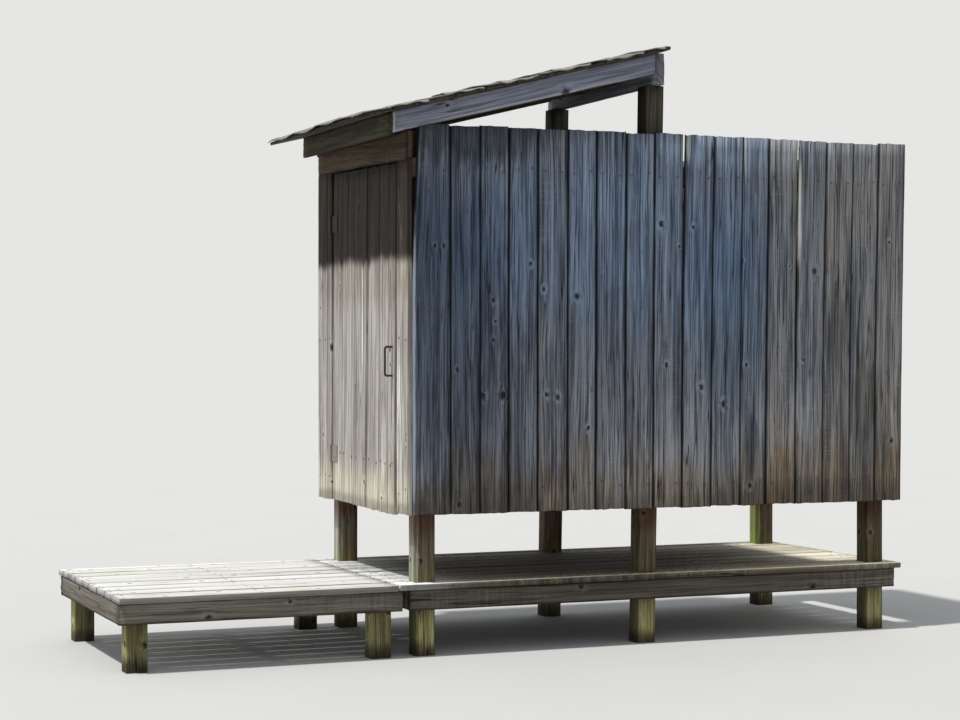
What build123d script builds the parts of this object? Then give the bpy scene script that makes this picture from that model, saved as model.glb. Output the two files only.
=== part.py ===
from build123d import *
import math
import os

# Outdoor shower: a board enclosure on six posts over a low deck, with a lean-to
# roof over its left half, a board door in its left end and a deck landing that
# leads away to the left. Millimetres, +Z up, ground at z = 0, front towards -Y.
# Lengths along the front are measured from the left end of the front boards,
# depths from their outer face, and heights from the ground or the deck's top.

# Enclosure
front_length = 2440.0
depth = 1210.0
wall_gap = 295.0
wall_board_length = 1667.0
board_thickness = 19.0
corner_gap = 12.0

# Posts and rails
post_size = 89.0
rail_thickness = 38.0
rail_width = 89.0
mid_post_offset = 1094.0
mid_post_lean_degrees = 1.0
post_top_drop = 3.0
right_post_drop = 35.0
low_rail_rise = 60.0
high_rail_drop = 140.0

# Deck and landing
deck_height = 315.0
deck_thickness = 25.0
deck_overhang = 5.0
post_hole_clearance = 3.0
rim_height = 89.0
landing_length = 1220.0
landing_gap = 36.0
deck_joint_gap = 4.0

# Roof
roof_pitch = 0.25
rafter_height = 1943.0
rafter_depth = 89.0
tail_overhang = 93.0
inner_rafters = 2
fascia_thickness = 19.0
fascia_height = 95.0
beam_thickness = 38.0
beam_height = 140.0
beam_past_post_foot = 19.0
sheathing_thickness = 15.0
sheathing_eave_reach = 145.0
sheathing_side_reach = 45.0
roofing_thickness = 8.0
roofing_lip = 10.0

# Left end: two fixed strips of boards, a header and the door between them
front_strip_width = 140.0
rear_strip_width = 195.0
strip_rise = 5.0
header_height = 103.0
header_clearance = 4.0
jamb_rise = 10.0
stop_width = 55.0
stop_clearance = 5.0

# Door
# It has dropped on its latch side, so it leans in its own plane.
door_front_gap = 7.0
door_hinge_gap = 10.0
door_top_gap = 8.0
door_drop = -6.0
door_lean_degrees = 1.1
ledge_width = 89.0
ledge_thickness = 19.0
ledge_end_inset = 25.0
ledge_stop_clearance = 8.0
low_ledge_rise = 170.0
high_ledge_drop = 190.0
brace_width = 89.0

# Hinges and pull
hinge_length = 78.0
barrel_radius = 6.0
pin_radius = 2.5
pin_clearance = 0.08
knuckle_gap = 0.5
frame_plate_width = 32.0
door_plate_width = 80.0
plate_thickness = 2.5
pull_from_edge = 48.0
pull_height = 950.0
pull_length = 125.0
pull_reach = 34.0
pull_radius = 5.0

# Planes worked out from the sizes above
left_outer = -corner_gap - board_thickness
left_inner = -corner_gap
left_post = left_inner + rail_thickness
right_inner = front_length - board_thickness
right_post = right_inner - rail_thickness - post_size
mid_post = mid_post_offset
mid_post_right = mid_post + post_size
roof_end = mid_post_right + beam_past_post_foot
beam_left = roof_end - beam_thickness
rail_front = board_thickness
post_front = rail_front + rail_thickness
rail_rear = depth - board_thickness
post_rear = rail_rear - rail_thickness
wall_bottom = deck_height + wall_gap
wall_top = wall_bottom + wall_board_length
deck_underside = deck_height - deck_thickness
rafter_start = deck_height + rafter_height
header_bottom = rafter_start + roof_pitch * left_outer - header_clearance - header_height
landing_right = left_inner - landing_gap
landing_left = landing_right - landing_length
door_front = front_strip_width + door_front_gap
strip_edge = depth - rear_strip_width
door_rear = strip_edge - door_hinge_gap
door_high = header_bottom - door_top_gap
door_low = wall_bottom - door_drop
door_height = door_high - door_low
door_lean = math.radians(door_lean_degrees)
door_width = (door_rear - door_front - door_height * math.sin(door_lean)) / math.cos(door_lean)
hinge_x = left_outer - barrel_radius
hinge_y = strip_edge - door_hinge_gap / 2
roof_angle = math.atan(roof_pitch)
rafter_plumb = rafter_depth / math.cos(roof_angle)
mid_post_slope = math.tan(math.radians(mid_post_lean_degrees))

# The origin is on the ground, below the middle of the whole object.
origin_x = (landing_left - deck_overhang + front_length + deck_overhang) / 2
origin_y = depth / 2


def block(x0, x1, y0, y1, z0, z1):
    """A rectangular timber between two corners."""
    size = Box(x1 - x0, y1 - y0, z1 - z0)
    return Pos((x0 + x1) / 2, (y0 + y1) / 2, (z0 + z1) / 2) * size


def side_profile(points, y0, y1):
    """A profile of (x, z) points carried along the depth from y0 to y1."""
    corners = [(x, y0, z) for x, z in points]
    face = make_face(Polyline(*corners, close=True))
    return extrude(face, amount=y1 - y0, dir=(0, 1, 0))


def end_profile(points, x0, x1):
    """A profile of (y, z) points carried along the front from x0 to x1."""
    corners = [(x0, y, z) for y, z in points]
    face = make_face(Polyline(*corners, close=True))
    return extrude(face, amount=x1 - x0, dir=(1, 0, 0))


def rafter_underside(x):
    """Height of the rafters' lower edge over a place along the front."""
    return rafter_start + roof_pitch * x


def rafter_top(x):
    """Height of the rafters' upper edge, which carries the sheathing."""
    return rafter_underside(x) + rafter_plumb


def roof_layer(x0, x1, lift, thickness, y0, y1):
    """A sloping layer on the rafters, lifted plumb by what lies under it."""
    plumb = thickness / math.cos(roof_angle)
    low = [(x0, rafter_top(x0) + lift), (x1, rafter_top(x1) + lift)]
    high = [(x, z + plumb) for x, z in reversed(low)]
    return side_profile(low + high, y0, y1)


def post(x, y, top, slope):
    """A square post through its place at the deck's top, out of plumb to the right by a slope."""
    foot = x - slope * deck_height
    head = x + slope * (top - deck_height)
    profile = [(foot, 0), (foot + post_size, 0), (head + post_size, top), (head, top)]
    return side_profile(profile, y, y + post_size)


def posts():
    """Six square posts from the ground. The middle pair leans and carries the high beam."""
    rows = {"front": post_front, "rear": post_rear - post_size}
    columns = {
        "left": (left_post, rafter_top(left_post) - post_top_drop, 0),
        "mid": (mid_post, rafter_top(beam_left) - beam_height, mid_post_slope),
        "right": (right_post, wall_top - right_post_drop, 0),
    }
    made = {}
    for row, y in rows.items():
        for column, (x, top, slope) in columns.items():
            made[f"post_{row}_{column}"] = post(x, y, top, slope)
    return made


def rail_pair(x0, x1, y0, y1):
    """The low and the high rail of one wall."""
    low = wall_bottom + low_rail_rise
    high = wall_top - high_rail_drop - rail_width
    return Compound([block(x0, x1, y0, y1, z, z + rail_width) for z in (low, high)])


def rails():
    """Rails on the outside of the posts, which the boards are nailed to."""
    return {
        "front_rails": rail_pair(left_inner, right_inner, rail_front, post_front),
        "rear_rails": rail_pair(left_inner, right_inner, post_rear, rail_rear),
        "right_rails": rail_pair(right_inner - rail_thickness, right_inner, post_front, post_rear),
    }


def board_wall(x0, x1, y0, y1):
    """A flat board wall along the front or rear, cut off along the rake's lower edge."""
    wall = block(x0, x1, y0, y1, wall_bottom, wall_top)
    above_rake = [
        (x0, rafter_underside(x0)),
        (beam_left, rafter_underside(beam_left)),
        (x0, rafter_underside(beam_left)),
    ]
    return wall - side_profile(above_rake, y0, y1)


def board_walls():
    """Front, rear and right board walls, one flat panel each."""
    return {
        "front_wall": board_wall(0, front_length, 0, board_thickness),
        "rear_wall": board_wall(0, right_inner, rail_rear, depth),
        "right_wall": block(right_inner, front_length, board_thickness, depth, wall_bottom, wall_top),
    }


def left_end():
    """Fixed board strips, header, its rail and the two jambs of the doorway."""
    rail_top = rafter_underside(left_inner + rail_thickness / 2)
    rail_bottom = rail_top - rail_width
    strip_bottom = wall_bottom + strip_rise
    jamb_bottom = strip_bottom + jamb_rise
    latch_jamb = block(left_inner, left_post, post_front, front_strip_width, jamb_bottom, rail_bottom)
    stop_edge = front_strip_width + stop_width
    stop_face = left_inner + stop_clearance
    return {
        "left_strip_front": block(left_outer, left_inner, 0, front_strip_width, strip_bottom, header_bottom),
        "left_strip_rear": block(left_outer, left_inner, strip_edge, depth, strip_bottom, header_bottom),
        "door_header": block(left_outer, left_inner, 0, depth, header_bottom, header_bottom + header_height),
        "left_header_rail": block(left_inner, left_post, post_front, post_rear, rail_bottom, rail_top),
        "latch_jamb": latch_jamb,
        "door_stop": block(stop_face, left_post, front_strip_width, stop_edge, jamb_bottom, rail_bottom),
        "hinge_jamb": block(left_inner, left_post, strip_edge, post_rear, jamb_bottom, rail_bottom),
    }


def leaning(shape):
    """Turn a door piece in the door's plane about its lower corner at the hinges."""
    corner = Pos(0, door_rear, door_low)
    return corner * Rot(X=door_lean_degrees) * corner.inverse() * shape


def door():
    """Board leaf with two ledges and a brace behind it, built upright and then leaned."""
    ledge_back = left_inner + ledge_thickness
    stop_edge = front_strip_width + stop_width
    y0 = door_rear - door_width + stop_edge - door_front + ledge_stop_clearance
    y1 = door_rear - ledge_end_inset
    low = door_low + low_ledge_rise
    high = door_high - high_ledge_drop - ledge_width
    leaf = block(left_outer, left_inner, door_rear - door_width, door_rear, door_low, door_high)
    low_ledge = block(left_inner, ledge_back, y0, y1, low, low + ledge_width)
    high_ledge = block(left_inner, ledge_back, y0, y1, high, high + ledge_width)
    brace_points = [
        (y1 - brace_width, low + ledge_width),
        (y1, low + ledge_width),
        (y0 + brace_width, high),
        (y0, high),
    ]
    return {
        "door_leaf": leaning(leaf),
        "door_ledge_low": leaning(low_ledge),
        "door_ledge_high": leaning(high_ledge),
        "door_brace": leaning(end_profile(brace_points, left_inner, ledge_back)),
    }


def knuckle(z0, z1):
    """A length of the hinge barrel."""
    return Pos(hinge_x, hinge_y, (z0 + z1) / 2) * Cylinder(barrel_radius, z1 - z0)


def hinge_plate(reach, z0, z1):
    """A hinge plate from the barrel along the boards' face, to either side of it."""
    near, far = sorted((hinge_y, hinge_y + reach))
    return block(left_outer - plate_thickness, left_outer, near, far, z0, z1)


def hinges():
    """Two butt hinges level with the ledges: outer knuckles and pin on the frame."""
    third = hinge_length / 3
    low = door_low + low_ledge_rise + ledge_width / 2
    high = door_high - high_ledge_drop - ledge_width / 2
    fixed = []
    moving = []
    for middle in (low, high):
        z0 = middle - hinge_length / 2
        z1 = z0 + third
        z2 = z0 + 2 * third
        z3 = z0 + hinge_length
        clear = Pos(hinge_x, hinge_y, middle) * Cylinder(barrel_radius + knuckle_gap, third + 2 * knuckle_gap)
        frame_side = hinge_plate(frame_plate_width, z0, z3) + knuckle(z0, z3) - clear
        door_side = hinge_plate(-door_plate_width, z0, z3)
        door_side -= Pos(hinge_x, hinge_y, middle) * Cylinder(barrel_radius + knuckle_gap, hinge_length)
        door_side += hinge_plate(-barrel_radius - 2 * knuckle_gap, z1, z2) + knuckle(z1, z2)
        pin = Pos(hinge_x, hinge_y, middle) * Cylinder(pin_radius, hinge_length)
        bore = Pos(hinge_x, hinge_y, middle) * Cylinder(pin_radius + pin_clearance, hinge_length)
        fixed.append(frame_side + pin)
        moving.append(door_side - bore)
    return {"frame_hinge_halves": Compound(fixed), "door_hinge_halves": Compound(moving)}


def pull():
    """A bent rod pull on the door's latch side."""
    y = door_front + pull_from_edge
    z = deck_height + pull_height
    reach = left_outer - pull_reach
    half = pull_length / 2
    bend = pull_radius * 2
    route = FilletPolyline(
        (left_outer, y, z - half),
        (reach, y, z - half),
        (reach, y, z + half),
        (left_outer, y, z + half),
        radius=bend,
    )
    start = Plane(origin=(left_outer, y, z - half), z_dir=(-1, 0, 0))
    return {"door_pull": sweep(start * Circle(pull_radius), path=route)}


def rafters():
    """Front and rear rakes from the eave to the high beam, and the rafters between them."""
    tail = -tail_overhang
    rail_top = rafter_underside(left_inner + rail_thickness / 2)
    profile = [
        (tail, rafter_underside(tail)),
        (beam_left, rafter_underside(beam_left)),
        (beam_left, rafter_top(beam_left)),
        (tail, rafter_top(tail)),
    ]
    made = {
        "rake_front": side_profile(profile, rail_front, post_front),
        "rake_rear": side_profile(profile, post_rear, rail_rear),
    }
    step = (post_rear - post_front + rail_thickness) / (inner_rafters + 1)
    seat = block(left_inner, left_post, 0, depth, rail_top - rail_width, rail_top)
    for number in range(1, inner_rafters + 1):
        y = post_front - rail_thickness + number * step
        rafter = side_profile(profile, y, y + rail_thickness)
        made[f"rafter_{number}"] = rafter - seat
    return made


def roof():
    """Eave fascia, high beam, sheathing and the roofing over it."""
    fascia_x = -tail_overhang
    fascia_top = rafter_top(fascia_x - fascia_thickness)
    beam_top = rafter_top(beam_left)
    board_left = fascia_x - fascia_thickness - sheathing_eave_reach
    lift = sheathing_thickness / math.cos(roof_angle)
    made = {
        "eave_fascia": block(
            fascia_x - fascia_thickness, fascia_x, rail_front, rail_rear, fascia_top - fascia_height, fascia_top
        ),
        "high_beam": block(beam_left, roof_end, rail_front, rail_rear, beam_top - beam_height, beam_top),
        "sheathing": roof_layer(
            board_left,
            roof_end,
            0,
            sheathing_thickness,
            -sheathing_side_reach,
            depth + sheathing_side_reach,
        ),
        "roofing": roof_layer(
            board_left - roofing_lip,
            roof_end,
            lift,
            roofing_thickness,
            -sheathing_side_reach - roofing_lip,
            depth + sheathing_side_reach + roofing_lip,
        ),
    }
    return made


def deck():
    """Deck under the enclosure: notched boards on rims and joists."""
    landing_joist_middle = landing_right - rail_thickness / 2
    boards = block(
        landing_joist_middle,
        front_length + deck_overhang,
        -deck_overhang,
        depth + deck_overhang,
        deck_underside,
        deck_height,
    )
    for x in (left_post, mid_post, right_post):
        for y in (post_front, post_rear - post_size):
            boards -= block(
                x - post_hole_clearance,
                x + post_size + post_hole_clearance,
                y - post_hole_clearance,
                y + post_size + post_hole_clearance,
                0,
                wall_bottom,
            )
    low = deck_underside - rim_height
    right_side = right_inner - rail_thickness
    joist_starts = (
        (left_post + mid_post) / 2,
        mid_post_right,
        (mid_post_right + right_post) / 2,
    )
    side_rims = [
        block(left_inner, left_post, post_front, post_rear, low, deck_underside),
        block(right_side, right_inner, post_front, post_rear, low, deck_underside),
    ]
    joists = [
        block(x, x + rail_thickness, post_front, post_rear, low, deck_underside) for x in joist_starts
    ]
    return {
        "deck_boards": boards,
        "deck_rim_front": block(left_inner, right_inner, rail_front, post_front, low, deck_underside),
        "deck_rim_rear": block(left_inner, right_inner, post_rear, rail_rear, low, deck_underside),
        "deck_side_rims": Compound(side_rims),
        "deck_joists": Compound(joists),
    }


def landing():
    """Deck landing in front of the door, on four short feet."""
    low = deck_underside - rim_height
    boards_right = landing_right - rail_thickness / 2 - deck_joint_gap
    middle = (landing_left + landing_right - rail_thickness) / 2
    joist_starts = (landing_left, middle, landing_right - rail_thickness)
    foot_starts = (landing_left + rail_thickness, landing_right - rail_thickness - post_size)
    rims = [
        block(landing_left, landing_right, rail_front, post_front, low, deck_underside),
        block(landing_left, landing_right, post_rear, rail_rear, low, deck_underside),
    ]
    joists = [
        block(x, x + rail_thickness, post_front, post_rear, low, deck_underside) for x in joist_starts
    ]
    feet = [
        block(x, x + post_size, y, y + post_size, 0, deck_underside)
        for x in foot_starts
        for y in (post_front, post_rear - post_size)
    ]
    return {
        "landing_boards": block(
            landing_left - deck_overhang,
            boards_right,
            -deck_overhang,
            depth + deck_overhang,
            deck_underside,
            deck_height,
        ),
        "landing_rims": Compound(rims),
        "landing_joists": Compound(joists),
        "landing_feet": Compound(feet),
    }


def main():
    """Work out every piece and write each one to its own file."""
    os.makedirs("parts", exist_ok=True)
    pieces = {}
    for group in (posts, rails, board_walls, left_end, door, hinges, pull, rafters, roof, deck, landing):
        pieces.update(group())
    place = Location((-origin_x, -origin_y, 0))
    for name, shape in pieces.items():
        export_step(place * shape, f"parts/{name}.step")
    hinge_place = (hinge_x - origin_x, hinge_y - origin_y, deck_height)
    print("pieces", len(pieces), "hinge axis at", [round(value, 3) for value in hinge_place])


main()
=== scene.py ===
import math

import bpy
import numpy as np
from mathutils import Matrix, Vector


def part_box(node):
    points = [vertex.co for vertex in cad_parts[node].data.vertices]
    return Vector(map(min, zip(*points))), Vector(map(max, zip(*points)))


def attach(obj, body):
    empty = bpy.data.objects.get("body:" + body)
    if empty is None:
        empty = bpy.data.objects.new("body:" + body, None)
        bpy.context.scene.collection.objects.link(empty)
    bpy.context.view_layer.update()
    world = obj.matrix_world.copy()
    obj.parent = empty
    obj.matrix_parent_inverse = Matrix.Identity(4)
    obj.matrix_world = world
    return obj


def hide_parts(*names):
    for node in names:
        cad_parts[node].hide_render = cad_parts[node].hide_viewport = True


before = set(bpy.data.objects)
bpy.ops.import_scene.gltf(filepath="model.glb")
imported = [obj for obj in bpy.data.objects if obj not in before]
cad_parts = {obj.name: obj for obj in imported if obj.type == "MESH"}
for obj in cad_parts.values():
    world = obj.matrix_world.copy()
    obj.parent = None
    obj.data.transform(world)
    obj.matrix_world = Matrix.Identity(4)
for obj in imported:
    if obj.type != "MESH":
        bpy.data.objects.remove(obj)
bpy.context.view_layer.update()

# Sizes in metres, angles in degrees. Every place comes from the frame's own boxes.
board_width = 0.1395
board_thickness = 0.019
stock_width = 0.089
rafter_slope = 0.25
nail_inset = 0.030
nail_radius = 0.0036
deck_board_width = 0.139
deck_pitch = 0.145
shingle_exposure = 0.127
shingle_lap = 0.055
shingle_thickness = 0.0045
tab_width = 0.305
door_lean = math.radians(1.1)

# The camera stands where the photograph was taken, with a longer lens.
camera_place = (-3.7574, -8.9226, 1.315)
camera_yaw_degrees = 22.654
camera_pitch_degrees = -0.283
camera_lens = 78.45
sensor_width = 36.0

# The lamp stands high on the left, so that the eave shades the top of the door end.
towards_lamp = (-0.374, -0.075, 0.925)
lamp_strength = 3.2
lamp_angle_degrees = 2.5
sky_strength = 0.60

X = np.array([1.0, 0.0, 0.0])
Y = np.array([0.0, 1.0, 0.0])
Z = np.array([0.0, 0.0, 1.0])
uphill = np.array([1.0, 0.0, rafter_slope])


# Node trees written as expressions


class Wires:
    """Adds nodes to a tree; each method makes one node and gives back its output."""

    def __init__(self, tree):
        self.tree = tree

    def add(self, kind, feeds=None, **settings):
        node = self.tree.nodes.new(kind)
        for name, value in settings.items():
            setattr(node, name, value)
        for name, value in (feeds or {}).items():
            self.feed(node.inputs[name], value)
        return node

    def feed(self, socket, value):
        if isinstance(value, bpy.types.NodeSocket):
            self.tree.links.new(value, socket)
        else:
            socket.default_value = value

    def math(self, operation, a, b=0.0):
        return self.add("ShaderNodeMath", {0: a, 1: b}, operation=operation).outputs[0]

    def plus(self, a, b):
        return self.math("ADD", a, b)

    def minus(self, a, b):
        return self.math("SUBTRACT", a, b)

    def times(self, a, b):
        return self.math("MULTIPLY", a, b)

    def greater(self, a, b):
        return self.math("MAXIMUM", a, b)

    def vector(self, x, y, z):
        return self.add("ShaderNodeCombineXYZ", {0: x, 1: y, 2: z}).outputs[0]

    def split(self, vector):
        return self.add("ShaderNodeSeparateXYZ", {0: vector}).outputs

    def noise(self, vector, scale=1.0, detail=2.0, roughness=0.5):
        feeds = {"Vector": vector, "Scale": scale, "Detail": detail, "Roughness": roughness}
        return self.add("ShaderNodeTexNoise", feeds).outputs["Fac"]

    def ramp(self, value, low, high, start=0.0, end=1.0):
        """A smooth step from start to end while the value goes from low to high."""
        feeds = {"Value": value, "From Min": low, "From Max": high, "To Min": start, "To Max": end}
        node = self.add("ShaderNodeMapRange", feeds, interpolation_type="SMOOTHSTEP", clamp=True)
        return node.outputs["Result"]

    def mix(self, factor, a, b, blend="MIX"):
        node = self.add("ShaderNodeMix", data_type="RGBA", blend_type=blend)
        self.feed(node.inputs["Factor"], factor)
        self.feed(node.inputs[6], a)
        self.feed(node.inputs[7], b)
        return node.outputs[2]

    def attribute(self, name):
        return self.add("ShaderNodeAttribute", attribute_name=name).outputs["Vector"]

    def group(self, tree, **values):
        node = self.add("ShaderNodeGroup", node_tree=tree)
        for name, value in values.items():
            self.feed(node.inputs[name.replace("_", " ")], value)
        return node.outputs


def new_group(name, inputs, outputs):
    """A shader node group with named sockets, and the wires and ends to fill it in."""
    tree = bpy.data.node_groups.new(name, "ShaderNodeTree")
    kinds = {"value": "NodeSocketFloat", "vector": "NodeSocketVector", "colour": "NodeSocketColor"}
    for socket_name, kind in inputs.items():
        tree.interface.new_socket(name=socket_name, in_out="INPUT", socket_type=kinds[kind])
    for socket_name, kind in outputs.items():
        tree.interface.new_socket(name=socket_name, in_out="OUTPUT", socket_type=kinds[kind])
    wires = Wires(tree)
    given = wires.add("NodeGroupInput").outputs
    out = wires.add("NodeGroupOutput").inputs
    return tree, wires, given, out


def shade(red, green, blue):
    """An eight bit screen colour as the linear colour that a socket takes."""
    parts = [value / 255 for value in (red, green, blue)]
    linear = [((p + 0.055) / 1.055) ** 2.4 if p > 0.04045 else p / 12.92 for p in parts]
    return (*linear, 1.0)


crack_black = shade(22, 20, 19)
rust_run = shade(66, 46, 34)


def offset_from(w, grain_place, mark):
    """How far a place in the grain lies from a knot or nail, and the mark's size."""
    across, along, _ = w.split(grain_place)
    mark_across, mark_along, size = w.split(mark)
    return w.minus(across, mark_across), w.minus(along, mark_along), size


def knot_group():
    """One knot: how far it pushes the growth lines aside, its mask, black eye, pale rim and rings.

    The push falls off with the square of the distance. The masks are smooth steps on the
    distance over the knot's radius, made uneven with noise."""
    inputs = {"Knot": "vector", "Grain": "vector"}
    outputs = {"Push": "value", "Mask": "value", "Eye": "value", "Rim": "value", "Rings": "value"}
    tree, w, given, out = new_group("knot", inputs, outputs)
    off_x, off_y, size = offset_from(w, given["Grain"], given["Knot"])
    flat_y = w.times(off_y, 0.72)
    distance_squared = w.plus(w.times(off_x, off_x), w.times(flat_y, flat_y))
    size_squared = w.times(size, size)
    floor = w.plus(w.times(size_squared, 0.4), 0.000001)
    nearness = w.math("DIVIDE", size_squared, w.greater(distance_squared, floor))
    fade = w.ramp(distance_squared, 0.0004, 0.0075, 0.95, 0.0)
    w.feed(out["Push"], w.times(w.times(off_x, nearness), fade))
    ratio = w.math("DIVIDE", w.math("SQRT", distance_squared), w.greater(size, 0.0002))
    uneven = w.noise(given["Grain"], 75.0, detail=5.0, roughness=0.75)
    ratio = w.plus(ratio, w.times(w.minus(uneven, 0.5), 2.4))
    mask = w.ramp(ratio, 0.5, 1.3, 1.0, 0.0)
    w.feed(out["Mask"], mask)
    w.feed(out["Eye"], w.ramp(ratio, 0.2, 0.9, 1.0, 0.0))
    partly = w.ramp(w.noise(given["Grain"], 38.0, detail=2.0), 0.38, 0.62)
    rim = w.times(w.ramp(ratio, 1.2, 3.4, 1.0, 0.0), w.minus(1.0, mask))
    w.feed(out["Rim"], w.times(rim, partly))
    w.feed(out["Rings"], w.times(w.math("SINE", w.times(ratio, 22.0)), w.times(mask, 0.12)))
    return tree


def grain_group(knot):
    """Masks of sawn timber from noise stretched along the board: fibre, streaks, broad bands, annual ring
    lines as a sine of the place across that parts round the knots, saw marks from noise stretched
    across the board, and cracks as thin zero lines."""
    inputs = {
        "Grain": "vector",
        "Chance": "value",
        "Knot": "vector",
        "Second Knot": "vector",
        "Line Pitch": "value",
    }
    outputs = {
        "Fibre": "value",
        "Streak": "value",
        "Lines": "value",
        "Broad": "value",
        "Crack": "value",
        "Smudge": "value",
        "Saw": "value",
        "Knot": "value",
        "Eye": "value",
        "Rim": "value",
        "Height": "value",
    }
    tree, w, given, out = new_group("timber_grain", inputs, outputs)
    across, along, _ = w.split(given["Grain"])
    layer = w.times(given["Chance"], 53.0)
    one = w.group(knot, Knot=given["Knot"], Grain=given["Grain"])
    two = w.group(knot, Knot=given["Second Knot"], Grain=given["Grain"])
    sway_at = w.vector(w.times(across, 3.0), w.times(along, 1.1), layer)
    sway = w.times(w.minus(w.noise(sway_at, detail=1.0), 0.5), 0.026)
    level = w.plus(w.minus(across, w.plus(one["Push"], two["Push"])), sway)
    fibre = w.noise(w.vector(w.times(level, 560.0), w.times(along, 8.0), layer), detail=2.0)
    streak_at = w.vector(w.times(level, 72.0), w.times(along, 1.7), w.plus(layer, 7.0))
    streak = w.noise(streak_at, detail=4.0, roughness=0.62)
    broad_at = w.vector(w.times(level, 19.0), w.times(along, 1.2), w.plus(layer, 13.0))
    broad = w.noise(broad_at, detail=3.0, roughness=0.6)
    phase = w.plus(w.math("DIVIDE", w.times(level, 6.283), given["Line Pitch"]), w.times(broad, 30.0))
    ring = w.times(w.plus(w.math("SINE", phase), 1.0), 0.5)
    lines = w.times(w.times(ring, ring), w.ramp(broad, 0.35, 0.6))
    crack_at = w.vector(w.times(level, 42.0), w.times(along, 0.8), w.plus(layer, 29.0))
    crack_line = w.math("ABSOLUTE", w.minus(w.noise(crack_at, detail=1.0), 0.5))
    crack_where = w.noise(w.vector(w.times(across, 12.0), w.times(along, 2.2), w.plus(layer, 31.0)))
    crack = w.times(w.ramp(crack_line, 0.003, 0.014, 1.0, 0.0), w.ramp(crack_where, 0.50, 0.60))
    smudge_at = w.vector(w.times(level, 34.0), w.times(along, 6.0), w.plus(layer, 41.0))
    smudge = w.ramp(w.noise(smudge_at, detail=5.0, roughness=0.7), 0.56, 0.72)
    saw_where = w.noise(w.vector(w.times(across, 9.0), w.times(along, 3.0), w.plus(layer, 53.0)), detail=3.0)
    saw_at = w.vector(w.times(across, 7.0), w.times(along, 95.0), w.plus(layer, 57.0))
    saw = w.times(w.ramp(w.noise(saw_at, detail=1.0), 0.55, 0.72), w.ramp(saw_where, 0.48, 0.62))
    knot_mask = w.greater(one["Mask"], two["Mask"])
    raised = w.plus(w.times(lines, 0.4), w.plus(w.times(fibre, 0.45), w.times(streak, 0.7)))
    raised = w.plus(raised, w.times(saw, 0.2))
    rings = w.plus(one["Rings"], two["Rings"])
    sunk = w.minus(w.times(crack, 1.6), w.times(knot_mask, 0.35))
    w.feed(out["Fibre"], fibre)
    w.feed(out["Streak"], streak)
    w.feed(out["Lines"], lines)
    w.feed(out["Broad"], broad)
    w.feed(out["Crack"], crack)
    w.feed(out["Smudge"], smudge)
    w.feed(out["Saw"], saw)
    w.feed(out["Knot"], knot_mask)
    w.feed(out["Eye"], w.greater(one["Eye"], two["Eye"]))
    w.feed(out["Rim"], w.greater(one["Rim"], two["Rim"]))
    w.feed(out["Height"], w.plus(w.minus(raised, sunk), rings))
    return tree


def rust_run_group():
    """The stain round a nail and the run below it: a smooth step on the distance, and a thin band
    that fades over 0.2 m downwards."""
    inputs = {"Nail": "vector", "Grain": "vector", "Streak": "value"}
    tree, w, given, out = new_group("rust_run", inputs, {"Mask": "value"})
    nail_x, nail_y, present = offset_from(w, given["Grain"], given["Nail"])
    below = w.times(w.ramp(nail_y, -0.20, -0.005), w.ramp(nail_y, -0.003, 0.004, 1.0, 0.0))
    thin = w.ramp(w.math("ABSOLUTE", nail_x), 0.001, 0.009, 1.0, 0.0)
    distance = w.math("SQRT", w.plus(w.times(nail_x, nail_x), w.times(nail_y, nail_y)))
    ring = w.ramp(distance, 0.003, 0.013, 0.9, 0.0)
    stain = w.greater(w.times(w.times(below, thin), 0.5), ring)
    here = w.times(w.ramp(present, 0.0, 0.5), w.ramp(given["Streak"], 0.25, 0.6))
    w.feed(out["Mask"], w.times(stain, here))
    return tree


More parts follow.
